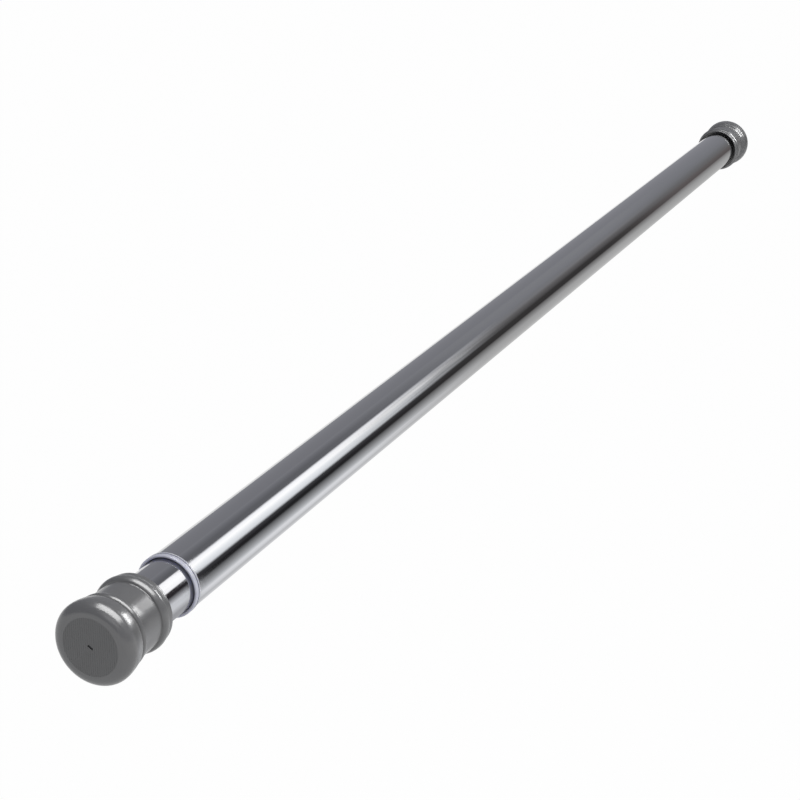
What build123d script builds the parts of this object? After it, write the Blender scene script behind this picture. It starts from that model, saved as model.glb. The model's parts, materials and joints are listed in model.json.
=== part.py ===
from build123d import *

import os

# Telescopic pull up bar for a doorway. Lengths are in millimetres.
# The bar lies along +X and +Z is up. The origin is the centre of the near foot's face, and the
# far foot's face looks along +X. Turning the grip tube between the two feet, which stand still,
# runs the spindle through the drive nut and lengthens the bar.

# ---- driving sizes: the whole bar ----
overall_length = 1000.0  # foot face to foot face, with the bar nearly closed
bare_tube = 22.8  # inner tube that shows between the near foot and the collar
travel_out = 300.0  # how far the bar lengthens from there
travel_in = 15.0  # how far it shortens
lead = 6.0  # growth for one turn of the grip tube

# ---- driving sizes: tubes ----
grip_tube_d = 28.0
grip_tube_wall = 1.0
inner_tube_d = 25.4
inner_tube_wall = 1.0
inner_tube_end = 485.0  # place of the inner tube's hidden end

# ---- driving sizes: feet ----
foot_length = 36.2
foot_web = 7.0  # solid behind the face
face_r = 13.4  # flat part of the face
face_round_length = 4.8  # round between the face and the bulb, along the bar
face_round_rise = 5.1  # and out from the axis
bulb_length = 11.3
bulb_slope = 0.85  # the bulb narrows by this towards its back
bulb_bevel = 0.75  # and by this over its back edge
bulb_bevel_length = 0.7
bead_start = 12.4  # thin bead behind the bulb
bead_half_width = 1.6
bead_foot_r = 16.15
bead_rise = 0.95
waist_start = 20.0
waist_r = 15.9
waist_taper = 0.1
rear_bead_rise = 1.5
rear_bead_front = 2.6  # from the waist to the crest of the rear bead
rear_bead_back = 2.0  # and from its crest to the collar
foot_groove_r = 16.3
foot_collar_r = 16.6
foot_collar_width = 3.2
foot_collar_round = 0.8
rib_pitch = 1.0
rib_gap = 0.4
rib_depth = 0.15
ribbed_r = 12.8
gate_length = 2.6  # moulding gate mark in the middle of the face
gate_width = 1.0
gate_depth = 0.4
gate_angle = 35.0

# ---- driving sizes: near end ----
near_plate_thickness = 2.5
tube_plug_length = 15.0
tube_plug_wall = 2.5

# ---- driving sizes: mouth collar of the grip tube ----
collar_flange = 2.0
collar_skirt = 1.5
collar_skin = 0.4  # how far the collar stands out from the grip tube
collar_line_depth = 0.15
collar_line_width = 0.6
collar_bore_gap = 0.3
collar_bevel_rise = 0.7
collar_bevel_length = 1.7

# ---- driving sizes: drive nut and its ring ----
nut_length = 30.0  # inside the inner tube
nut_flange = 8.0
guide_ring_width = 4.8
guide_ring_depth = 1.0
guide_ring_split = 1.5
nut_pin_d = 3.0
nut_pin_place = 12.0  # back from the inner tube's end
nut_pin_depth = 2.6
pin_count = 3

# ---- driving sizes: spindle ----
thread_r = 7.0
thread_depth = 1.9
thread_crest = 1.5
thread_slope = 0.8  # growth of the ridge's width for each millimetre of depth
thread_play = 0.45  # along the bar, between the flanks
thread_gap = 0.4  # between crest and root
thread_sink = 0.4  # how deep the ridge's root is sunk in the metal that carries it
shank_r = 6.0
neck_r = 5.0
journal_r = 4.0
stud_r = 3.5
support_width = 8.0
support_count = 2
support_pitch = 160.0
support_start = 640.0

# ---- driving sizes: travel stop on the spindle's free end ----
stop_washer_thickness = 2.0
stop_washer_r = 9.5
stop_guide_length = 8.0
stop_nut_length = 6.0
stop_nut_flats = 13.0
stud_overhang = 2.5

# ---- driving sizes: far end ----
mouth_gap = 1.4  # open ring round the grip tube at the far foot
mouth_depth = 4.5
clip_room = 3.5
clip_room_r = 8.0
far_plate_thickness = 3.0
far_bore_r = 13.0
thrust_washer_thickness = 1.5
thrust_washer_r = 12.4
end_journal_r = 10.5
end_plug_flange = 2.0
end_plug_spigot = 22.0
plug_pin_d = 2.4
plug_pin_place = 2.0  # back from the grip tube's end
plug_pin_depth = 4.0
spindle_pin_d = 4.0
spindle_pin_place = 12.0  # back from the grip tube's end
clip_thickness = 0.8
clip_r = 6.0
clip_groove = 0.6
clip_mouth = 4.0
clip_washer_thickness = 0.7
clip_washer_r = 7.0
journal_end_room = 1.0

# ---- clearances ----
seat_gap = 0.05  # radial, between pieces that are pressed or bonded together
running_gap = 0.1  # radial, between pieces that turn or slide on each other
end_play = 0.2  # along the bar, between faces that turn on each other
stop_gap = 1.0  # left at the end of the outward travel
pin_gap = 0.03
pin_setback = 0.2  # a pin's end lies this far below the tube's surface

# ---- places that follow ----
grip_tube_r = grip_tube_d / 2
grip_bore_r = grip_tube_r - grip_tube_wall
inner_tube_r = inner_tube_d / 2
inner_bore_r = inner_tube_r - inner_tube_wall
bulb_r = face_r + face_round_rise
inner_tube_start = foot_web + near_plate_thickness
collar_front = foot_length + bare_tube
grip_tube_start = collar_front + collar_flange
nut_start = inner_tube_end - nut_length
nut_end = inner_tube_end + nut_flange
thread_start = nut_start - travel_out - stop_gap
thread_end = nut_end + travel_in + 2 * stop_gap
thread_root_r = thread_r - thread_depth


def from_far_face(depth):
    """The place along the bar that lies this deep behind the far foot's face."""
    return overall_length - depth


plate_front = foot_web + clip_room
plate_back = plate_front + far_plate_thickness
plug_nose = plate_back + thrust_washer_thickness + end_play
mouth_floor = foot_length - mouth_depth
plug_shoulder = mouth_floor + end_play
tube_end_depth = plug_shoulder + end_plug_flange
plug_back = tube_end_depth + end_plug_spigot
grip_tube_end = from_far_face(tube_end_depth)


def turn(corners, mode=Mode.ADD):
    """Turn a closed half-section about the bar's axis. Each corner is a place and a radius."""
    with BuildSketch(Plane.XZ) as half:
        with BuildLine():
            Polyline(*corners, close=True)
        make_face()
    revolve(half.sketch, axis=Axis.X, mode=mode)


def turn_ring(start, end, outer, inner=0.0, mode=Mode.ADD):
    """Turn a plain disc or ring between two places."""
    turn([(start, inner), (start, outer), (end, outer), (end, inner)], mode)


def radial_rods(place, rod_r, low, high, mode=Mode.ADD):
    """Round rods, evenly spaced, that stand out from the bar's axis between two radii."""
    for step in range(pin_count):
        spoke = Location((place, 0, 0), (360 / pin_count * step, 0, 0))
        with Locations(spoke * Location((0, 0, low))):
            Cylinder(rod_r, high - low, align=(Align.CENTER, Align.CENTER, Align.MIN), mode=mode)


def rod_ridge_width(radius):
    """Width of the spindle's thread ridge, along the bar, at this radius."""
    return thread_crest + thread_slope * (thread_r - radius)


def nut_ridge_width(radius):
    """Width of the nut's thread ridge at this radius: the spindle's groove less the play."""
    return lead - rod_ridge_width(radius) - 2 * thread_play


def helical_ridge(start, end, sunk_r, tip_r, width_at):
    """A thread ridge that winds round the bar's axis, from a sunk root to its tip."""
    with BuildPart() as ridge:
        with BuildLine() as path:
            Helix(lead, end - start, sunk_r, center=(start, 0, 0), direction=(1, 0, 0))
        first = path.line @ 0
        section_plane = Plane(origin=first, x_dir=(0, first.Y, first.Z), z_dir=path.line % 0)
        half_root = width_at(sunk_r) / 2
        half_tip = width_at(tip_r) / 2
        with BuildSketch(section_plane):
            with BuildLine():
                Polyline(
                    (0, -half_root),
                    (tip_r - sunk_r, -half_tip),
                    (tip_r - sunk_r, half_tip),
                    (0, half_root),
                    close=True,
                )
            make_face()
        sweep(is_frenet=True)
    return ridge.part


def foot_moulding(hollow):
    """A foot with its face at the origin. The hollow's corners run from its open end to its floor."""
    bead_middle = bead_start + bead_half_width
    bead_back = (bead_middle + bead_half_width, bead_foot_r)
    waist_front = (waist_start, waist_r + waist_taper)
    collar_start = foot_length - foot_collar_width
    rear_bead_top = collar_start - rear_bead_back
    bead_foot = (rear_bead_top - rear_bead_front, waist_r)
    bead_drop = waist_r + rear_bead_rise - foot_groove_r
    lip = foot_length - foot_collar_round
    lip_r = foot_collar_r - foot_collar_round
    bulb_edge = (bulb_length - bulb_bevel_length, bulb_r - bulb_slope)
    bulb_back = (bulb_length, bulb_edge[1] - bulb_bevel)
    with BuildPart() as moulding:
        with BuildSketch(Plane.XZ):
            with BuildLine():
                Line((0, 0), (0, face_r))
                EllipticalCenterArc(
                    (face_round_length, face_r),
                    face_round_length,
                    face_round_rise,
                    start_angle=90,
                    arc_size=90,
                )
                Spline((face_round_length, bulb_r), bulb_edge, tangents=((1, 0), (1, -0.22)))
                Polyline(bulb_edge, bulb_back, (bead_start, bead_foot_r))
                EllipticalCenterArc(
                    (bead_middle, bead_foot_r),
                    bead_half_width,
                    bead_rise,
                    start_angle=0,
                    arc_size=180,
                )
                Spline(bead_back, waist_front, tangents=((1, -0.06), (1, 0)))
                Line(waist_front, bead_foot)
                EllipticalCenterArc(
                    (rear_bead_top, waist_r),
                    rear_bead_front,
                    rear_bead_rise,
                    start_angle=90,
                    arc_size=90,
                )
                EllipticalCenterArc(
                    (rear_bead_top, foot_groove_r),
                    rear_bead_back,
                    bead_drop,
                    start_angle=0,
                    arc_size=90,
                )
                Polyline((collar_start, foot_groove_r), (collar_start, foot_collar_r), (lip, foot_collar_r))
                CenterArc((lip, lip_r), foot_collar_round, 90, -90)
                Polyline((foot_length, lip_r), *hollow, (0, 0))
            make_face()
        revolve(axis=Axis.X)
        with BuildSketch(Plane.YZ):
            with GridLocations(rib_pitch, 0, 2 * int(ribbed_r / rib_pitch) + 1, 1):
                Rectangle(rib_gap, 2 * ribbed_r)
            Circle(ribbed_r, mode=Mode.INTERSECT)
        extrude(amount=rib_depth, mode=Mode.SUBTRACT)
        with BuildSketch(Plane.YZ):
            Rectangle(gate_length, gate_width, rotation=gate_angle)
        extrude(amount=gate_depth, mode=Mode.SUBTRACT)
    return moulding.part


# ---- near end: foot, pressure plate, inner tube and its plug ----
near_bore_r = inner_tube_r + seat_gap
near_moulding = foot_moulding(
    [
        (foot_length, near_bore_r + seat_gap),
        (foot_length - foot_collar_round, near_bore_r),
        (foot_web, near_bore_r),
        (foot_web, 0),
    ]
)
with BuildPart() as near_foot:
    add(near_moulding)

with BuildPart() as near_pressure_plate:
    turn_ring(foot_web, inner_tube_start, inner_tube_r)

with BuildPart() as inner_tube:
    turn_ring(inner_tube_start, inner_tube_end, inner_tube_r, inner_bore_r)
    radial_rods(inner_tube_end - nut_pin_place, nut_pin_d / 2, 0, grip_tube_r, Mode.SUBTRACT)

plug_r = inner_bore_r - seat_gap
with BuildPart() as inner_tube_plug:
    turn_ring(inner_tube_start, inner_tube_start + tube_plug_length, plug_r)
    turn_ring(
        inner_tube_start + tube_plug_wall,
        inner_tube_start + tube_plug_length,
        plug_r - tube_plug_wall,
        mode=Mode.SUBTRACT,
    )

# ---- drive nut, its pins and the ring that guides it in the grip tube ----
nut_tip_r = thread_root_r + thread_gap
nut_root_r = thread_r + thread_gap
ridge_start = thread_start + lead / 2
turns_before_nut = int((nut_start - ridge_start) / lead) - 1
nut_ridge_start = ridge_start + (turns_before_nut + 0.5) * lead
nut_ridge_foot_r = nut_root_r + thread_sink
nut_ridge = helical_ridge(nut_ridge_start, nut_end + lead, nut_ridge_foot_r, nut_tip_r, nut_ridge_width)
guide_ring_start = inner_tube_end + (nut_flange - guide_ring_width) / 2
guide_ring_end = guide_ring_start + guide_ring_width
ring_groove_r = inner_tube_r - guide_ring_depth
nut_pin_x = inner_tube_end - nut_pin_place
nut_pin_foot_r = inner_bore_r - nut_pin_depth

with BuildPart() as nut_thread:
    add(nut_ridge)
    turn_ring(nut_start, nut_end, nut_root_r + 2 * thread_sink, mode=Mode.INTERSECT)

with BuildPart() as drive_nut:
    turn_ring(nut_start, inner_tube_end, inner_bore_r - seat_gap, nut_root_r)
    turn_ring(inner_tube_end, nut_end, inner_tube_r, nut_root_r)
    turn_ring(
        guide_ring_start - seat_gap,
        guide_ring_end + seat_gap,
        grip_tube_r,
        ring_groove_r,
        Mode.SUBTRACT,
    )
    radial_rods(nut_pin_x, nut_pin_d / 2, nut_pin_foot_r - pin_gap, grip_tube_r, Mode.SUBTRACT)
    add(nut_thread.part)

with BuildPart() as nut_pins:
    radial_rods(nut_pin_x, nut_pin_d / 2 - pin_gap, nut_pin_foot_r, inner_tube_r - pin_setback)

with BuildPart() as guide_ring:
    turn_ring(guide_ring_start, guide_ring_end, grip_bore_r - running_gap, ring_groove_r + seat_gap)
    with Locations((guide_ring_start, 0, 0)):
        Box(
            guide_ring_width,
            guide_ring_split,
            grip_bore_r,
            align=(Align.MIN, Align.CENTER, Align.MIN),
            mode=Mode.SUBTRACT,
        )

# ---- grip tube and the collar in its mouth ----
with BuildPart() as grip_tube:
    turn_ring(grip_tube_start, grip_tube_end, grip_tube_r, grip_bore_r)
    radial_rods(grip_tube_end - plug_pin_place, plug_pin_d / 2, 0, 2 * grip_tube_r, Mode.SUBTRACT)

collar_r = grip_tube_r + collar_skin
collar_bore_r = inner_tube_r + collar_bore_gap
line_place = grip_tube_start + collar_line_width / 2
with BuildPart() as mouth_collar:
    turn(
        [
            (collar_front, collar_bore_r + collar_bevel_rise),
            (collar_front, collar_r - collar_skin),
            (collar_front + collar_skin, collar_r),
            (grip_tube_start, collar_r),
            (line_place, collar_r - collar_line_depth),
            (grip_tube_start + collar_line_width, collar_r),
            (grip_tube_start + collar_skirt, collar_r),
            (grip_tube_start + collar_skirt, grip_tube_r + seat_gap),
            (grip_tube_start, grip_tube_r + seat_gap),
            (grip_tube_start, collar_bore_r),
            (collar_front + collar_bevel_length, collar_bore_r),
        ]
    )

# ---- end plug, pinned in the grip tube, with the journal that turns in the far foot ----
plug_spigot_r = grip_bore_r - seat_gap
plug_pin_x = grip_tube_end - plug_pin_place
plug_pin_foot_r = grip_bore_r - plug_pin_depth
spindle_pin_x = grip_tube_end - spindle_pin_place
plug_shoulder_x = from_far_face(plug_shoulder)
plug_back_x = from_far_face(plug_back)
with BuildPart() as end_plug:
    turn_ring(plug_back_x, grip_tube_end, plug_spigot_r)
    turn_ring(grip_tube_end, plug_shoulder_x, grip_tube_r)
    turn_ring(plug_shoulder_x, from_far_face(plug_nose), end_journal_r)
    turn_ring(plug_back_x, from_far_face(plug_nose), neck_r + seat_gap, mode=Mode.SUBTRACT)
    radial_rods(plug_pin_x, plug_pin_d / 2, plug_pin_foot_r - pin_gap, 2 * grip_tube_r, Mode.SUBTRACT)
    with Locations((spindle_pin_x, 0, 0)):
        Cylinder(spindle_pin_d / 2, 2 * grip_tube_r, mode=Mode.SUBTRACT)

with BuildPart() as plug_pins:
    radial_rods(plug_pin_x, plug_pin_d / 2 - pin_gap, plug_pin_foot_r, grip_tube_r - pin_setback)

with BuildPart() as spindle_pin:
    with Locations((spindle_pin_x, 0, 0)):
        Cylinder(spindle_pin_d / 2 - pin_gap, 2 * (plug_spigot_r - pin_setback))

# ---- spindle: stud, thread, shank, neck in the plug, journal in the far pressure plate ----
stop_washer_start = thread_start - stop_washer_thickness
stop_guide_start = stop_washer_start - stop_guide_length
stop_nut_start = stop_guide_start - stop_nut_length
journal_end = from_far_face(foot_web + journal_end_room)
clip_washer_start = from_far_face(plate_front - end_play)
clip_start = clip_washer_start + clip_washer_thickness
spindle_ridge = helical_ridge(
    ridge_start,
    thread_end - lead / 2,
    thread_root_r - thread_sink,
    thread_r,
    rod_ridge_width,
)
with BuildPart() as spindle:
    turn_ring(stop_nut_start - stud_overhang, thread_start, stud_r)
    turn_ring(thread_start, thread_end, thread_root_r)
    turn_ring(thread_end, plug_back_x, shank_r)
    turn_ring(plug_back_x, from_far_face(plug_nose), neck_r)
    turn_ring(from_far_face(plug_nose), journal_end, journal_r)
    clip_back = clip_start + clip_thickness + end_play
    turn_ring(clip_start, clip_back, shank_r, journal_r - clip_groove, Mode.SUBTRACT)
    with Locations((spindle_pin_x, 0, 0)):
        Cylinder(spindle_pin_d / 2, 2 * grip_tube_r, mode=Mode.SUBTRACT)
    add(spindle_ridge)

with BuildPart() as spindle_supports:
    for step in range(support_count):
        support_x = support_start + support_pitch * step
        turn_ring(support_x, support_x + support_width, grip_bore_r - running_gap, shank_r + seat_gap)

# ---- travel stop on the spindle's free end, inside the inner tube ----
with BuildPart() as stop_washer:
    turn_ring(stop_washer_start, thread_start, stop_washer_r, stud_r + running_gap)

with BuildPart() as stop_guide:
    turn_ring(stop_guide_start, stop_washer_start, inner_bore_r - running_gap, stud_r + running_gap)

with BuildPart() as stop_nut:
    with BuildSketch(Plane.YZ.offset(stop_nut_start)):
        RegularPolygon(stop_nut_flats / 2, 6, major_radius=False)
        Circle(stud_r + seat_gap, mode=Mode.SUBTRACT)
    extrude(amount=stop_nut_length)

# ---- far foot, which stands still while the plug's journal turns in it ----
bush_back = plug_nose + end_play
far_moulding = foot_moulding(
    [
        (foot_length, grip_tube_r + mouth_gap),
        (mouth_floor, grip_tube_r + mouth_gap),
        (mouth_floor, far_bore_r),
        (plate_front, far_bore_r),
        (plate_front, clip_room_r),
        (foot_web, clip_room_r),
        (foot_web, 0),
    ]
)
with BuildPart() as far_foot:
    mirror(far_moulding, about=Plane.YZ.offset(overall_length / 2))

with BuildPart() as far_pressure_plate:
    turn_ring(
        from_far_face(plate_back),
        from_far_face(plate_front),
        far_bore_r - seat_gap,
        journal_r + running_gap,
    )

with BuildPart() as thrust_washer:
    turn_ring(
        from_far_face(plate_back + thrust_washer_thickness),
        from_far_face(plate_back),
        thrust_washer_r,
        journal_r + end_play,
    )

with BuildPart() as swivel_bush:
    turn_ring(
        from_far_face(mouth_floor),
        from_far_face(bush_back),
        far_bore_r - seat_gap,
        end_journal_r + running_gap,
    )

with BuildPart() as clip_washer:
    turn_ring(clip_washer_start, clip_start, clip_washer_r, journal_r + seat_gap)

with BuildPart() as retaining_clip:
    turn_ring(clip_start, clip_start + clip_thickness, clip_r, journal_r - clip_groove + seat_gap)
    with Locations((clip_start, 0, 0)):
        Box(
            clip_thickness,
            clip_mouth,
            clip_r,
            align=(Align.MIN, Align.CENTER, Align.MIN),
            mode=Mode.SUBTRACT,
        )

# ---- one file for each piece ----
pieces = {
    "near_foot": near_foot,
    "near_pressure_plate": near_pressure_plate,
    "inner_tube": inner_tube,
    "inner_tube_plug": inner_tube_plug,
    "drive_nut": drive_nut,
    "nut_pins": nut_pins,
    "guide_ring": guide_ring,
    "grip_tube": grip_tube,
    "mouth_collar": mouth_collar,
    "end_plug": end_plug,
    "plug_pins": plug_pins,
    "spindle": spindle,
    "spindle_pin": spindle_pin,
    "spindle_supports": spindle_supports,
    "stop_washer": stop_washer,
    "stop_guide": stop_guide,
    "stop_nut": stop_nut,
    "far_foot": far_foot,
    "far_pressure_plate": far_pressure_plate,
    "thrust_washer": thrust_washer,
    "swivel_bush": swivel_bush,
    "clip_washer": clip_washer,
    "retaining_clip": retaining_clip,
}
os.makedirs("parts", exist_ok=True)
for label, piece in pieces.items():
    piece.part.label = label
    export_step(piece.part, f"parts/{label}.step")
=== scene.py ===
import json
import math

import bmesh
import bpy
from mathutils import Euler, Matrix, Vector


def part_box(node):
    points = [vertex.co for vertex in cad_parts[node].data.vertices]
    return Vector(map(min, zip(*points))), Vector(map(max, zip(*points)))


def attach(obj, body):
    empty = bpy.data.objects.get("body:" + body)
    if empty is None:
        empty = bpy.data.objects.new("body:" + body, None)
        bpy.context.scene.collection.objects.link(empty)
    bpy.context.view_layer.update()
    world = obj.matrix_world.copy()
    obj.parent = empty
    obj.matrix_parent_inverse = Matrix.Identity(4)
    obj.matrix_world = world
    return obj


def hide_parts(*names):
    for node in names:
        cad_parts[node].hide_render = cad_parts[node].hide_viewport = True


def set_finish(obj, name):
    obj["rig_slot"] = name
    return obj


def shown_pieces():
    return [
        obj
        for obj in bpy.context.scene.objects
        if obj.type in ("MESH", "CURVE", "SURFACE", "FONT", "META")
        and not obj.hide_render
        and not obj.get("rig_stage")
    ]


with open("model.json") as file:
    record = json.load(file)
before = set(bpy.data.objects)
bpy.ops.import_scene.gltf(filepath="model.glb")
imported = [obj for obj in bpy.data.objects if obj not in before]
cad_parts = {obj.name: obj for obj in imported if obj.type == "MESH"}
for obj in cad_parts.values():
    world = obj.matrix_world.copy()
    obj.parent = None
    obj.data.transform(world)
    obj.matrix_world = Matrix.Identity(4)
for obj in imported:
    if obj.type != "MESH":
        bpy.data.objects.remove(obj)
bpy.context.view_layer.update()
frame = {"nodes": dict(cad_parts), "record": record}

MM = 0.001
FINE_SEGMENTS = 192  # facets round a turned piece, so that its outline stays smooth close up
SMOOTH_ANGLE = math.radians(35)  # edges sharper than this stay crisp
MERGE_DISTANCE = 0.002 * MM
CUT_TOLERANCE = 1e-7
TOUCHING = 1e-6  # points nearer than this count as in one place


# ---- tools for the mesh pieces ----
def finish_piece(mesh, name, body, material, replaced):
    """Turns a bmesh into a shown piece that rides on a body and stands for CAD nodes."""
    bmesh.ops.recalc_face_normals(mesh, faces=mesh.faces)
    data = bpy.data.meshes.new(name)
    mesh.to_mesh(data)
    mesh.free()
    piece = bpy.data.objects.new(name, data)
    bpy.context.collection.objects.link(piece)
    data.materials.append(material)
    data.shade_smooth()
    data.set_sharp_from_angle(angle=SMOOTH_ANGLE)
    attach(piece, body)
    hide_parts(*replaced)
    return piece


def spin_outline(outline):
    """Turns a closed outline of (place, radius) points about the bar's axis."""
    mesh = bmesh.new()
    verts = [mesh.verts.new((place, 0.0, radius)) for place, radius in outline]
    edges = [mesh.edges.new(pair) for pair in zip(verts, verts[1:] + verts[:1])]
    bmesh.ops.spin(
        mesh,
        geom=verts + edges,
        cent=(0, 0, 0),
        axis=(1, 0, 0),
        angle=math.tau,
        steps=FINE_SEGMENTS,
        use_merge=True,
    )
    bmesh.ops.remove_doubles(mesh, verts=mesh.verts, dist=MERGE_DISTANCE)
    return mesh


def arc(centre, run, rise, start, end, steps=6):
    """Points on a round or oval corner, from one angle to another in degrees."""
    points = []
    for step in range(steps + 1):
        angle = math.radians(start + (end - start) * step / steps)
        points.append((centre[0] + run * math.cos(angle), centre[1] + rise * math.sin(angle)))
    return points


def flow(start, end, start_slope, end_slope, steps):
    """Points on a smooth curve between two points, with its slope given at each end."""
    run = end[0] - start[0]
    points = []
    for step in range(1, steps):
        t = step / steps
        rise = (
            (2 * t**3 - 3 * t**2 + 1) * start[1]
            + (t**3 - 2 * t**2 + t) * run * start_slope
            + (-2 * t**3 + 3 * t**2) * end[1]
            + (t**3 - t**2) * run * end_slope
        )
        points.append((start[0] + run * t, rise))
    return points


# ---- tools for the materials ----
# A mix node's colour sockets, by number, because its other sockets share their names.
MIX_FIRST = 6
MIX_SECOND = 7
MIX_RESULT = 2


def srgb(code):
    """A linear colour from an sRGB hex code."""
    levels = [int(code[i : i + 2], 16) / 255 for i in (1, 3, 5)]
    return [c / 12.92 if c <= 0.04045 else ((c + 0.055) / 1.055) ** 2.4 for c in levels] + [1.0]


def add_node(material, kind, settings=None, links=None):
    """Adds a node, sets its properties and inputs, and links its inputs to other nodes' outputs."""
    tree = material.node_tree
    node = tree.nodes.new(kind)
    for key, value in (settings or {}).items():
        if key in node.inputs:
            node.inputs[key].default_value = value
        else:
            setattr(node, key, value)
    for key, (source, output) in (links or {}).items():
        tree.links.new(source.outputs[output], node.inputs[key])
    return node


def new_material(name):
    """An empty material with its output node."""
    material = bpy.data.materials.new(name)
    material.use_nodes = True
    material.node_tree.nodes.clear()
    return material, add_node(material, "ShaderNodeOutputMaterial")


def connect(material, source, output, target, socket):
    """Links one output to one input, each given by its name or its number."""
    material.node_tree.links.new(source.outputs[output], target.inputs[socket])


# ---- materials ----
PEEL_SIZE = 1.6 * MM
PEEL_DEPTH = 0.008 * MM
DRAWN_LINE_SIZE = 1.2 * MM
DRAWN_STRETCH = (0.02, 1.0, 1.0)  # the drawn lines run along the bar
MOTTLE_SIZE = 9 * MM
GLOSS_SPREAD = 0.02
TOOL_RING_SIZE = 2.4 * MM
TOOL_RING_DEPTH = 0.02 * MM
STAIN_SIZE = 12 * MM


def make_chrome(name, tone, roughness):
    """Chrome plate on drawn steel tube: mirror gloss with the faint orange peel of plating."""
    material, out = new_material(name)
    place = add_node(material, "ShaderNodeTexCoord")
    peel = add_node(
        material,
        "ShaderNodeTexNoise",
        {"Scale": 1 / PEEL_SIZE, "Detail": 3.0, "Roughness": 0.6},
        {"Vector": (place, "Object")},
    )
    drawn = add_node(
        material, "ShaderNodeMapping", {"Scale": DRAWN_STRETCH}, {"Vector": (place, "Object")}
    )
    lines = add_node(
        material,
        "ShaderNodeTexNoise",
        {"Scale": 1 / DRAWN_LINE_SIZE, "Detail": 2.0},
        {"Vector": (drawn, "Vector")},
    )
    haze = add_node(
        material,
        "ShaderNodeMapRange",
        {"From Min": 0.3, "From Max": 0.7, "To Min": roughness * 0.8, "To Max": roughness * 1.25},
        {"Value": (lines, "Fac")},
    )
    bump = add_node(
        material,
        "ShaderNodeBump",
        {"Strength": 1.0, "Distance": PEEL_DEPTH},
        {"Height": (peel, "Fac")},
    )
    shader = add_node(
        material,
        "ShaderNodeBsdfPrincipled",
        {"Base Color": srgb(tone), "Metallic": 1.0},
        {"Roughness": (haze, "Result"), "Normal": (bump, "Normal")},
    )
    connect(material, shader, "BSDF", out, "Surface")
    return material


def make_moulded(name, tone, dark_tone, roughness, grain, specular=0.5):
    """Moulded rubber or plastic: soft mottling and the fine grain of its mould."""
    grain_size, grain_depth = grain
    material, out = new_material(name)
    place = add_node(material, "ShaderNodeTexCoord")
    mottle = add_node(
        material,
        "ShaderNodeTexNoise",
        {"Scale": 1 / MOTTLE_SIZE, "Detail": 4.0, "Roughness": 0.6},
        {"Vector": (place, "Object")},
    )
    shade = add_node(material, "ShaderNodeMix", {"data_type": "RGBA"})
    shade.inputs[MIX_FIRST].default_value = srgb(tone)
    shade.inputs[MIX_SECOND].default_value = srgb(dark_tone)
    connect(material, mottle, "Fac", shade, "Factor")
    fine = add_node(
        material,
        "ShaderNodeTexNoise",
        {"Scale": 1 / grain_size, "Detail": 3.0, "Roughness": 0.65},
        {"Vector": (place, "Object")},
    )
    gloss = add_node(
        material,
        "ShaderNodeMapRange",
        {
            "From Min": 0.3,
            "From Max": 0.7,
            "To Min": roughness - GLOSS_SPREAD,
            "To Max": roughness + GLOSS_SPREAD,
        },
        {"Value": (fine, "Fac")},
    )
    bump = add_node(
        material,
        "ShaderNodeBump",
        {"Strength": 0.6, "Distance": grain_depth},
        {"Height": (fine, "Fac")},
    )
    shader = add_node(
        material,
        "ShaderNodeBsdfPrincipled",
        {"Specular IOR Level": specular, "IOR": 1.5},
        {"Roughness": (gloss, "Result"), "Normal": (bump, "Normal")},
    )
    connect(material, shade, MIX_RESULT, shader, "Base Color")
    connect(material, shader, "BSDF", out, "Surface")
    return material


def make_machined(name, tone, dark_tone, roughness, metallic=1.0):
    """Turned or plated steel: fine rings round the axis and faint staining."""
    material, out = new_material(name)
    place = add_node(material, "ShaderNodeTexCoord")
    rings = add_node(
        material,
        "ShaderNodeTexWave",
        {"bands_direction": "X", "Scale": 1 / TOOL_RING_SIZE, "Distortion": 1.5, "Detail": 2.0},
        {"Vector": (place, "Object")},
    )
    stain = add_node(
        material,
        "ShaderNodeTexNoise",
        {"Scale": 1 / STAIN_SIZE, "Detail": 4.0},
        {"Vector": (place, "Object")},
    )
    shade = add_node(material, "ShaderNodeMix", {"data_type": "RGBA"})
    shade.inputs[MIX_FIRST].default_value = srgb(tone)
    shade.inputs[MIX_SECOND].default_value = srgb(dark_tone)
    connect(material, stain, "Fac", shade, "Factor")
    bump = add_node(
        material,
        "ShaderNodeBump",
        {"Strength": 0.25, "Distance": TOOL_RING_DEPTH},
        {"Height": (rings, "Fac")},
    )
    shader = add_node(
        material,
        "ShaderNodeBsdfPrincipled",
        {"Metallic": metallic, "Roughness": roughness},
        {"Normal": (bump, "Normal")},
    )
    connect(material, shade, MIX_RESULT, shader, "Base Color")
    connect(material, shader, "BSDF", out, "Surface")
    return material


CHROME_TONE = "#b6b6b7"
chrome = make_chrome("chrome_plate", CHROME_TONE, 0.06)
RUBBER_GRAIN = (2.5 * MM, 0.004 * MM)  # size and depth of the mould's grain
COLLAR_GRAIN = (2.5 * MM, 0.003 * MM)
TORN_GRAIN = (0.3 * MM, 0.05 * MM)
NYLON_GRAIN = (0.6 * MM, 0.01 * MM)
foot_rubber = make_moulded("moulded_grey_rubber", "#737372", "#6b6b6a", 0.24, RUBBER_GRAIN, 0.8)
# The ribbed disc is a touch darker than the rest of the foot: slight painted shade in its ribs.
ribbed_rubber = make_moulded("ribbed_grey_rubber", "#717170", "#686866", 0.3, RUBBER_GRAIN)
# The gate mark is sunk into the face and coloured much darker than the rubber round it.
gate_scar = make_moulded("dark_rubber_gate", "#3a3a3b", "#2c2c2d", 0.7, TORN_GRAIN)
collar_plastic = make_moulded("bluish_collar_plastic", "#dcdde8", "#d4d5e1", 0.25, COLLAR_GRAIN)
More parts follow.
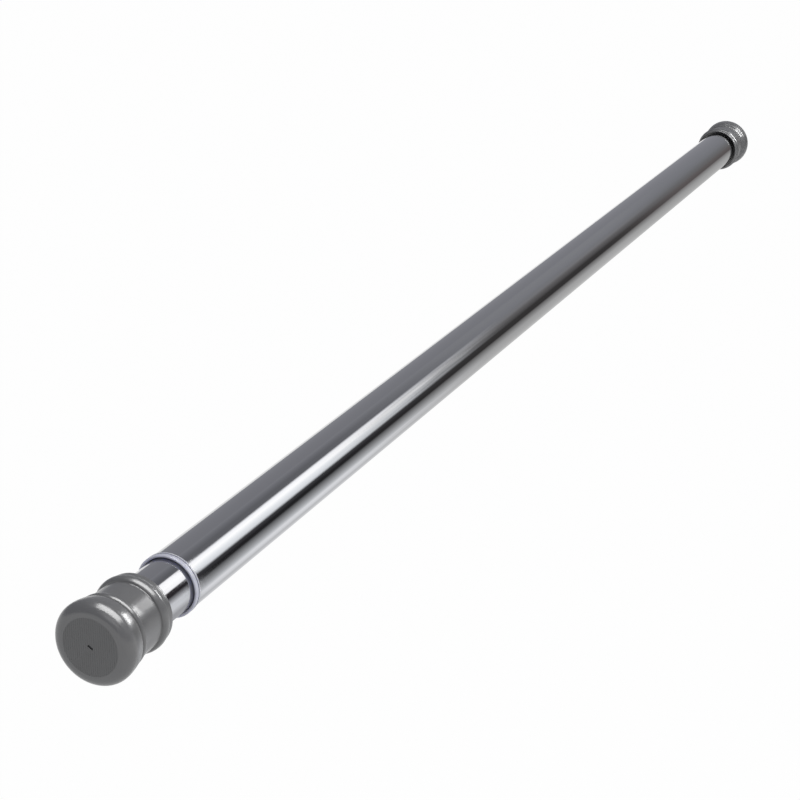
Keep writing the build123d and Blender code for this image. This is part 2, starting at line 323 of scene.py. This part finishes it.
# The collar's line is painted shade: a darker grey-blue copy of the plastic where shade falls in
# its fine groove.
collar_shade = make_moulded("painted_shade_collar_line", "#74768a", "#6d6f82", 0.5, COLLAR_GRAIN)
collar_shader = next(n for n in collar_plastic.node_tree.nodes if n.type == "BSDF_PRINCIPLED")
collar_shader.inputs["Subsurface Weight"].default_value = 0.6
collar_shader.inputs["Subsurface Radius"].default_value = (1.0, 1.0, 1.2)
collar_shader.inputs["Subsurface Scale"].default_value = 1.5 * MM
nylon = make_moulded("natural_nylon", "#d8d5ca", "#cdc9bd", 0.45, NYLON_GRAIN)
zinc = make_machined("zinc_plated_steel", "#b9bcc0", "#a4a7ab", 0.32)
spindle_steel = make_machined("rolled_thread_steel", "#8f9092", "#77787b", 0.38)
nut_iron = make_machined("machined_cast_iron", "#6c6c6e", "#5a5a5d", 0.5, 0.9)

SLOT_MATERIALS = {
    "foot_moulding": foot_rubber,
    "chrome_tube": chrome,
    "collar_plastic": collar_plastic,
    "nylon": nylon,
    "zinc_steel": zinc,
    "spindle_steel": spindle_steel,
    "nut_iron": nut_iron,
}
for subpart in frame["record"]["subparts"]:
    node_data = frame["nodes"][subpart["node"]].data
    node_data.materials.clear()
    node_data.materials.append(SLOT_MATERIALS[subpart["material_slot"]])


# ---- feet ----
FOOT_LENGTH = 36.2 * MM
FOOT_WEB = 7.0 * MM
FACE_R = 13.4 * MM
FACE_ROUND_LENGTH = 4.8 * MM
FACE_ROUND_RISE = 5.1 * MM
BULB_R = FACE_R + FACE_ROUND_RISE
BULB_LENGTH = 11.3 * MM
BULB_FALL = 1.6 * MM
BEAD_START = 12.4 * MM
BEAD_HALF_WIDTH = 1.6 * MM
BEAD_FOOT_R = 16.15 * MM
BEAD_RISE = 0.95 * MM
WAIST_START = 20.0 * MM
WAIST_R = 15.9 * MM
WAIST_TAPER = 0.1 * MM
REAR_BEAD_START = 28.4 * MM
REAR_BEAD_TOP = 31.0 * MM
REAR_BEAD_RISE = 1.5 * MM
FOOT_GROOVE_R = 16.3 * MM
COLLAR_R = 16.6 * MM
COLLAR_WIDTH = 3.2 * MM
COLLAR_ROUND = 0.8 * MM
RIB_PITCH = 1.0 * MM
RIB_GAP = 0.4 * MM
RIB_DEPTH = 0.05 * MM
RIBBED_R = 12.8 * MM
GATE_HALF = (1.3 * MM, 0.5 * MM)
GATE_DEPTH = 0.4 * MM
GATE_ANGLE = math.radians(35)
FOOT_FACETS = 240
RIBBED_SLOT = 1
GATE_SLOT = 2
REAR_CREASE = 0.2 * MM
BULB_CORNER = (BULB_LENGTH - 0.7 * MM, BULB_R - 0.85 * MM)


def foot_outline(hollow):
    """A foot's half-section, from the edge of its face over the bulb to its hollow's floor."""
    bulb_back = (BULB_LENGTH, BULB_R - BULB_FALL)
    bead_middle = BEAD_START + BEAD_HALF_WIDTH
    waist_front = (WAIST_START, WAIST_R + WAIST_TAPER)
    collar_start = FOOT_LENGTH - COLLAR_WIDTH
    bead_front = REAR_BEAD_TOP - REAR_BEAD_START
    bead_rear = collar_start - REAR_BEAD_TOP
    bead_drop = WAIST_R + REAR_BEAD_RISE - FOOT_GROOVE_R
    crease = REAR_CREASE
    outline = arc((FACE_ROUND_LENGTH, FACE_R), FACE_ROUND_LENGTH, FACE_ROUND_RISE, 180, 90, 20)
    outline += flow(outline[-1], BULB_CORNER, 0.0, -0.22, 10)
    outline += flow(BULB_CORNER, bulb_back, -0.3, -2.0, 4) + [bulb_back]
    outline += arc((bead_middle, BEAD_FOOT_R), BEAD_HALF_WIDTH, BEAD_RISE, 170, 0, 12)
    outline += flow(outline[-1], waist_front, -0.06, 0.0, 8) + [waist_front]
    outline += arc((REAR_BEAD_START - 2 * crease, WAIST_R), 2 * crease, 1.5 * crease, 180, 360, 8)
    outline += arc((REAR_BEAD_TOP, WAIST_R), bead_front, REAR_BEAD_RISE, 168, 90, 10)
    outline += arc((REAR_BEAD_TOP, FOOT_GROOVE_R), bead_rear, bead_drop, 85, 0, 9)
    outline += arc((collar_start + crease, COLLAR_R - crease), crease, crease, 180, 90, 4)
    lip = (FOOT_LENGTH - COLLAR_ROUND, COLLAR_R - COLLAR_ROUND)
    outline += arc(lip, COLLAR_ROUND, COLLAR_ROUND, 90, 0, 6)
    return outline + hollow


def carve(mesh, faces, depth):
    """Sinks a group of faces into the foot's face."""
    edges = list({edge for face in faces for edge in face.edges})
    sunk = bmesh.ops.extrude_face_region(mesh, geom=faces + edges)
    verts = [item for item in sunk["geom"] if isinstance(item, bmesh.types.BMVert)]
    bmesh.ops.translate(mesh, vec=(depth, 0, 0), verts=verts)


def in_gate(point):
    """Says whether a point of the face lies in the gate mark."""
    along = point.y * math.cos(GATE_ANGLE) + point.z * math.sin(GATE_ANGLE)
    across = point.z * math.cos(GATE_ANGLE) - point.y * math.sin(GATE_ANGLE)
    return abs(along) < GATE_HALF[0] and abs(across) < GATE_HALF[1]


def build_foot(name, node, body, hollow, faces_far):
    """A foot, with real ribs across its face and the scar of its gate in the middle."""
    mesh = bmesh.new()
    outline = foot_outline(hollow)
    verts = [mesh.verts.new((place, 0.0, radius)) for place, radius in outline]
    edges = [mesh.edges.new(pair) for pair in zip(verts, verts[1:])]
    bmesh.ops.spin(
        mesh,
        geom=verts + edges,
        cent=(0, 0, 0),
        axis=(1, 0, 0),
        angle=math.tau,
        steps=FOOT_FACETS,
        use_merge=True,
    )
    bmesh.ops.remove_doubles(mesh, verts=mesh.verts, dist=MERGE_DISTANCE)
    rim = [edge for edge in mesh.edges if edge.is_boundary]
    face = bmesh.ops.contextual_create(mesh, geom=rim)["faces"][0]
    border = FACE_R - RIBBED_R
    bmesh.ops.inset_region(mesh, faces=[face], thickness=border, use_even_offset=True)
    planes = []
    rib_count = int(RIBBED_R / RIB_PITCH)
    for rib in range(-rib_count, rib_count + 1):
        for side in (-0.5, 0.5):
            place = rib * RIB_PITCH + side * RIB_GAP
            planes.append((Vector((0, place, 0)), Vector((0, 1, 0))))
    along = Vector((0, math.cos(GATE_ANGLE), math.sin(GATE_ANGLE)))
    across = Vector((0, -math.sin(GATE_ANGLE), math.cos(GATE_ANGLE)))
    for direction, half in ((along, GATE_HALF[0]), (across, GATE_HALF[1])):
        for side in (-1, 1):
            planes.append((direction * half * side, direction))

    def face_region():
        """The mesh's faces that lie in the ribbed disc."""
        region = []
        for f in mesh.faces:
            reach = max(math.hypot(v.co.y, v.co.z) for v in f.verts)
            if f.calc_center_median().x < TOUCHING and reach < RIBBED_R + 0.02 * MM:
                region.append(f)
        return region

    for point, normal in planes:
        region = face_region()
        geom = set(region)
        for f in region:
            geom.update(f.edges)
            geom.update(f.verts)
        cut = {"plane_co": point, "plane_no": normal, "dist": CUT_TOLERANCE}
        bmesh.ops.bisect_plane(mesh, geom=list(geom), **cut)
    region = face_region()
    gate = [f for f in region if in_gate(f.calc_center_median())]
    grooves = []
    for f in region:
        middle = f.calc_center_median()
        nearest = round(middle.y / RIB_PITCH) * RIB_PITCH
        if f not in gate and abs(middle.y - nearest) < RIB_GAP / 2 - TOUCHING:
            grooves.append(f)
    for f in region:
        f.material_index = RIBBED_SLOT
    for f in gate:
        f.material_index = GATE_SLOT
    carve(mesh, grooves, RIB_DEPTH)
    carve(mesh, gate, GATE_DEPTH)
    if faces_far:
        bmesh.ops.transform(mesh, matrix=Matrix.Scale(-1, 4, (1, 0, 0)), verts=mesh.verts)
        bmesh.ops.translate(mesh, vec=(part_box(node)[1][0], 0, 0), verts=mesh.verts)
    foot = finish_piece(mesh, name, body, foot_rubber, [node])
    foot.data.materials.append(ribbed_rubber)
    foot.data.materials.append(gate_scar)
    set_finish(foot, "foot_moulding")


tube_low, tube_high = (Vector(corner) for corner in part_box("grip_tube"))
inner_low, inner_high = (Vector(corner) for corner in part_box("inner_tube"))
GRIP_R = tube_high.z
INNER_R = inner_high.z
NEAR_BORE_R = INNER_R + 0.05 * MM
MOUTH_EDGE = 0.25 * MM
FAR_MOUTH_R = GRIP_R + 1.4 * MM
FAR_BORE_R = 13.0 * MM
CLIP_ROOM_R = 8.0 * MM
PLATE_FRONT = 10.5 * MM
MOUTH_DEPTH = 4.5 * MM
near_hollow = [
    (FOOT_LENGTH, INNER_R + 0.3 * MM),
    (FOOT_LENGTH - MOUTH_EDGE, NEAR_BORE_R),
    (FOOT_WEB, NEAR_BORE_R),
    (FOOT_WEB, 0.0),
]
mouth_centre = (FOOT_LENGTH - MOUTH_EDGE, FAR_MOUTH_R + MOUTH_EDGE)
far_hollow = arc(mouth_centre, MOUTH_EDGE, MOUTH_EDGE, 0, -90, 4) + [
    (FOOT_LENGTH - MOUTH_DEPTH, FAR_MOUTH_R),
    (FOOT_LENGTH - MOUTH_DEPTH, FAR_BORE_R),
    (PLATE_FRONT, FAR_BORE_R),
    (PLATE_FRONT, CLIP_ROOM_R),
    (FOOT_WEB, CLIP_ROOM_R),
    (FOOT_WEB, 0.0),
]
build_foot("near_foot_moulding", "near_foot", "near_end", near_hollow, False)
build_foot("far_foot_moulding", "far_foot", "far_end", far_hollow, True)


# ---- tubes ----
WALL = 1.0 * MM
TUBE_EDGE = 0.2 * MM


def build_tube(name, node, body, outer, start, end):
    """A chromed tube with its real wall and lightly broken edges."""
    edge = TUBE_EDGE
    inner = outer - WALL
    outline = [
        (start, inner + edge),
        (start, outer - edge),
        (start + edge, outer),
        (end - edge, outer),
        (end, outer - edge),
        (end, inner + edge),
        (end - edge, inner),
        (start + edge, inner),
    ]
    tube = finish_piece(spin_outline(outline), name, body, chrome, [node])
    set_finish(tube, "chrome_tube")


build_tube("inner_tube_chromed", "inner_tube", "near_end", INNER_R, inner_low.x, inner_high.x)
build_tube("grip_tube_chromed", "grip_tube", "grip", GRIP_R, tube_low.x, tube_high.x)


# ---- collar in the mouth of the grip tube ----
COLLAR_BORE_GAP = 0.15 * MM
COLLAR_SEAT_GAP = 0.05 * MM
COLLAR_SKIRT = 1.5 * MM
COLLAR_CORNER = 0.3 * MM
COLLAR_LINE_DEPTH = 0.15 * MM
COLLAR_LINE_WIDTH = 0.6 * MM
SKIRT_SETBACK = 0.02 * MM
# Material slot for the painted shade in the collar's groove.
SHADE_LINE_SLOT = 1


def build_collar():
    """The collar: a rounded front flange, a fine groove round it coloured with painted shade, and a
    thin skirt over the tube.
    """
    low, high = (Vector(corner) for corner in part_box("mouth_collar"))
    outer = high.z
    front = low.x
    bore = INNER_R + COLLAR_BORE_GAP
    skirt_end = tube_low.x + COLLAR_SKIRT
    seat = GRIP_R + COLLAR_SEAT_GAP
    corner = COLLAR_CORNER
    line = COLLAR_LINE_DEPTH
    outline = arc((front + corner, outer - corner), corner, corner, 180, 90, 6)
    outline += [
        (tube_low.x - 0.05 * MM, outer),
        (tube_low.x + 0.1 * MM, outer - line),
        (tube_low.x + 0.5 * MM, outer - line),
        (tube_low.x + COLLAR_LINE_WIDTH, outer - SKIRT_SETBACK),
        (skirt_end - 0.15 * MM, outer - SKIRT_SETBACK),
        (skirt_end, outer - 0.15 * MM),
        (skirt_end, seat),
        (tube_low.x, seat),
        (tube_low.x, bore),
        (front + 1.7 * MM, bore),
        (front + 0.8 * MM, bore + 0.2 * MM),
        (front + 0.25 * MM, bore + 0.5 * MM),
        (front, bore + 0.9 * MM),
    ]
    mesh = spin_outline(outline)
    # The groove's faces take the painted shade material.
    for f in mesh.faces:
        middle = f.calc_center_median()
        on_line = 0 < middle.x - tube_low.x < COLLAR_LINE_WIDTH
        if on_line and math.hypot(middle.y, middle.z) > outer - 1.5 * line:
            f.material_index = SHADE_LINE_SLOT
    collar = finish_piece(mesh, "collar_ring", "grip", collar_plastic, ["mouth_collar"])
    collar.data.materials.append(collar_shade)
    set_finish(collar, "collar_plastic")


build_collar()


# ---- studio ----
FLOOR_DROP = 0.66
FLOOR_SIZE = 60.0
FLOOR_WHITE_SHARE = 0.985  # the rest of what is seen is paint, which takes the bar's shadow


def make_floor_material():
    """A white floor, seen as plain white by the camera and in gloss, that still takes shadows."""
    material, out = new_material("white_floor")
    paint = add_node(material, "ShaderNodeBsdfDiffuse", {"Color": srgb("#f2f2f2")})
    white = add_node(material, "ShaderNodeEmission", {"Color": srgb("#ffffff"), "Strength": 1.0})
    rays = add_node(material, "ShaderNodeLightPath")
    seen = add_node(material, "ShaderNodeMath", {"operation": "MAXIMUM"})
    connect(material, rays, "Is Camera Ray", seen, 0)
    connect(material, rays, "Is Glossy Ray", seen, 1)
    through = add_node(material, "ShaderNodeMath", {"operation": "MAXIMUM"})
    connect(material, seen, "Value", through, 0)
    connect(material, rays, "Is Transmission Ray", through, 1)
    share = add_node(material, "ShaderNodeMath", {"operation": "MULTIPLY"})
    share.inputs[1].default_value = FLOOR_WHITE_SHARE
    connect(material, through, "Value", share, 0)
    mix = add_node(material, "ShaderNodeMixShader")
    connect(material, share, "Value", mix, 0)
    connect(material, paint, "BSDF", mix, 1)
    connect(material, white, "Emission", mix, 2)
    connect(material, mix, "Shader", out, "Surface")
    return material


def make_plane(name, material, corners):
    """A flat stage panel from its four corners."""
    mesh = bmesh.new()
    mesh.faces.new([mesh.verts.new(corner) for corner in corners])
    data = bpy.data.meshes.new(name)
    mesh.to_mesh(data)
    mesh.free()
    panel = bpy.data.objects.new(name, data)
    bpy.context.collection.objects.link(panel)
    data.materials.append(material)
    panel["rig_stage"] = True


half = FLOOR_SIZE / 2
corners = ((-half, -half), (half, -half), (half, half), (-half, half))
make_plane("floor", make_floor_material(), [(x, y, -FLOOR_DROP) for x, y in corners])

# A long curved card round one side of the bar, seen only in gloss: a glowing sheet of painted
# reflection, no lamp. Its tones run from a grey sky over a softbox and the dark gap under it to the
# pale ground. They are painted as they look in the chrome, so the card's strength makes up for what
# the chrome takes.
CARD_REACH = 0.62
CARD_X = (0.735, 4.5)
CARD_FROM = 76
CARD_TO = 305
CARD_STRENGTH = 1 / srgb(CHROME_TONE)[0]
CARD_STEPS = 76
# Painted reflection tones by angle round the bar: sky grey, the softbox's white band, the dark gap
# and the ground.
FIRST_CARD = {
    76: "#74757a", 90: "#64656a", 103: "#58595d", 113: "#58595d", 118: "#f8f8fa", 137: "#ffffff",
    155: "#f4f4f6", 160: "#2c282b", 176: "#201e21", 182: "#5f5f62", 192: "#8f9094", 205: "#c0c2c6",
    226: "#c0c2c6", 240: "#a8a9ac", 255: "#8c8d90", 305: "#7c7d80",
}
NEAR_CARD = {
    76: "#74757a", 90: "#66676c", 103: "#5a5b5f", 118: "#5a5b5f", 125: "#f0f1f4", 137: "#ffffff",
    149: "#e4e7ea", 162: "#d0d3d7", 170: "#3a3a3d", 184: "#1e1e20", 191: "#232324", 197: "#57585a",
    211: "#828385", 226: "#a4a6a9", 240: "#cccdd0", 252: "#c0c1c4", 266: "#a2a3a5", 305: "#a8a8aa",
}
MIDDLE_CARD = {
    76: "#727378", 90: "#747579", 114: "#717277", 126: "#6d6e72", 137: "#6d6d70", 149: "#595859",
    161: "#4b4a4b", 172: "#323131", 191: "#2e2d2d", 197: "#616060", 211: "#7c7c7c", 226: "#919191",
    240: "#939393", 266: "#949494", 305: "#989898",
}
FAR_CARD = {
    76: "#6e6f74", 103: "#6d6e73", 126: "#696a6e", 137: "#646568", 149: "#5f5f61", 161: "#5b5a5b",
    172: "#565252", 191: "#4d4949", 197: "#6c6a6a", 211: "#7f7f7f", 226: "#898989", 240: "#8b8b8b",
    266: "#8c8c8c", 305: "#909090",
}
FIRST_FADE = (0.800, 0.815)
NEAR_FADE = (1.02, 1.64)
FAR_FADE = (2.02, 2.51)
SPECKLE_SCALE = 14.0
SPECKLE_REACH = 0.5


def fill_ramp(ramp, stops):
    """Gives a colour ramp its stops, from the angle round the bar to a hex code."""
    elements = ramp.color_ramp.elements
    while len(elements) > 1:
        elements.remove(elements[-1])
    for index, (angle, code) in enumerate(stops.items()):
        place = (angle - CARD_FROM) / (CARD_TO - CARD_FROM)
        element = elements[0] if index == 0 else elements.new(place)
        element.position = place
        element.color = srgb(code)


def make_card_material():
    """The card's painted reflection glow: four runs of tones round the bar, one fading into the
    next along it.
    """
    material, out = new_material("painted_reflection_card")
    place = add_node(material, "ShaderNodeTexCoord")
    axes = add_node(material, "ShaderNodeSeparateXYZ", links={"Vector": (place, "Object")})
    height = add_node(material, "ShaderNodeMath", {"operation": "ARCTAN2"})
    connect(material, axes, "Z", height, 0)
    connect(material, axes, "Y", height, 1)
    full = add_node(material, "ShaderNodeMath", {"operation": "WRAP"})
    full.inputs[1].default_value = math.tau
    full.inputs[2].default_value = 0.0
    connect(material, height, "Value", full, 0)
    share = add_node(
        material,
        "ShaderNodeMapRange",
        {"From Min": math.radians(CARD_FROM), "From Max": math.radians(CARD_TO)},
        {"Value": (full, "Value")},
    )
    # Noise that frays the fade of the painted softbox reflection along the bar.
    speckle = add_node(
        material,
        "ShaderNodeTexNoise",
        {"Scale": SPECKLE_SCALE, "Detail": 6.0, "Roughness": 0.75},
        {"Vector": (place, "Object")},
    )
    ragged = add_node(material, "ShaderNodeMath", {"operation": "MULTIPLY_ADD"})
    ragged.inputs[1].default_value = SPECKLE_REACH
    connect(material, speckle, "Fac", ragged, 0)
    connect(material, axes, "X", ragged, 2)
    tones = None
    for stops, fade, along, offset in (
        (FIRST_CARD, None, None, 0.0),
        (NEAR_CARD, FIRST_FADE, (axes, "X"), 0.0),
        (MIDDLE_CARD, NEAR_FADE, (ragged, "Value"), SPECKLE_REACH / 2),
        (FAR_CARD, FAR_FADE, (axes, "X"), 0.0),
    ):
        ramp = add_node(material, "ShaderNodeValToRGB", links={"Fac": (share, "Result")})
        fill_ramp(ramp, stops)
        if tones is None:
            tones = (ramp, "Color")
            continue
        fading = add_node(
            material,
            "ShaderNodeMapRange",
            {
                "interpolation_type": "SMOOTHSTEP",
                "From Min": fade[0] + offset,
                "From Max": fade[1] + offset,
            },
            {"Value": along},
        )
        mix = add_node(material, "ShaderNodeMix", {"data_type": "RGBA"})
        connect(material, fading, "Result", mix, 0)
        connect(material, *tones, mix, MIX_FIRST)
        connect(material, ramp, "Color", mix, MIX_SECOND)
        tones = (mix, MIX_RESULT)
    glow = add_node(material, "ShaderNodeEmission", {"Strength": CARD_STRENGTH}, {"Color": tones})
    connect(material, glow, "Emission", out, "Surface")
    return material


def make_card():
    """The card's sheet of painted reflection, bent round the bar and seen only in gloss."""
    mesh = bmesh.new()
    start = math.radians(CARD_FROM)
    y, z = CARD_REACH * math.cos(start), CARD_REACH * math.sin(start)
    verts = [mesh.verts.new((x, y, z)) for x in CARD_X]
    edge = mesh.edges.new(verts)
    bmesh.ops.spin(
        mesh,
        geom=verts + [edge],
        cent=(0, 0, 0),
        axis=(1, 0, 0),
        angle=math.radians(CARD_TO - CARD_FROM),
        steps=CARD_STEPS,
    )
    data = bpy.data.meshes.new("painted_reflection_card")
    mesh.to_mesh(data)
    mesh.free()
    card = bpy.data.objects.new("painted_reflection_card", data)
    bpy.context.collection.objects.link(card)
    data.materials.append(make_card_material())
    card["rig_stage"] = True
    card.visible_camera = False
    card.visible_diffuse = False
    card.visible_shadow = False


make_card()

world = bpy.data.worlds.new("grey_studio")
bpy.context.scene.world = world
world.use_nodes = True
world.node_tree.nodes["Background"].inputs["Color"].default_value = srgb("#9d9ea5")
world.node_tree.nodes["Background"].inputs["Strength"].default_value = 1.0


def add_softbox(name, centre, target, length, width, radiance):
    """A soft panel light that faces a point."""
    light = bpy.data.lights.new(name, "AREA")
    light.shape = "RECTANGLE"
    light.size = length
    light.size_y = width
    light.energy = radiance * math.pi * length * width
    softbox = bpy.data.objects.new(name, light)
    bpy.context.collection.objects.link(softbox)
    facing = Vector(target) - Vector(centre)
    softbox.rotation_euler = facing.to_track_quat("-Z", "Y").to_euler()
    softbox.location = centre
    return softbox


STRIP_X = 1.16
STRIP_REACH = 0.6
STRIP_ANGLES = {"upper_strip": 128, "lower_strip": 147}
key = add_softbox("key_softbox", (0.5, -0.45, 0.4), (0.5, 0, 0), 1.56, 0.55, 1.35)
key.visible_glossy = False
add_softbox("end_softbox", (-1.1, -0.3, 0.75), (0.0, 0, 0), 0.9, 0.7, 0.9)
# An overhead panel and two bright strips that gleam only on the feet and the collar.
gleams = [add_softbox("top_softbox", (0.03, -0.2, 0.82), (0.03, 0, 0), 0.85, 0.95, 8.0)]
for name, angle in STRIP_ANGLES.items():
    y = STRIP_REACH * math.cos(math.radians(angle))
    z = STRIP_REACH * math.sin(math.radians(angle))
    gleams.append(add_softbox(name, (STRIP_X, y, z), (STRIP_X, 0, 0), 0.6, 0.15, 16.0))
plastic_pieces = bpy.data.collections.new("plastic_pieces")
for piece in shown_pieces():
    if piece.get("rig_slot") in ("foot_moulding", "collar_plastic"):
        plastic_pieces.objects.link(piece)
for gleam in gleams:
    gleam.visible_diffuse = False
    gleam.light_linking.receiver_collection = plastic_pieces


# ---- camera ----
CAMERA_AZIMUTH = math.radians(-66.37)
CAMERA_ELEVATION = math.radians(20.28)
camera_data = bpy.data.cameras.new("view")
camera_data.sensor_width = 36.0
camera_data.lens = 84.13
camera = bpy.data.objects.new("view", camera_data)
bpy.context.collection.objects.link(camera)
camera.rotation_euler = Euler((math.pi / 2 - CAMERA_ELEVATION, 0, CAMERA_AZIMUTH))
camera.location = (-0.5513, -0.3740, 0.3457)
bpy.context.scene.camera = camera
bpy.context.scene.view_settings.view_transform = "Standard"
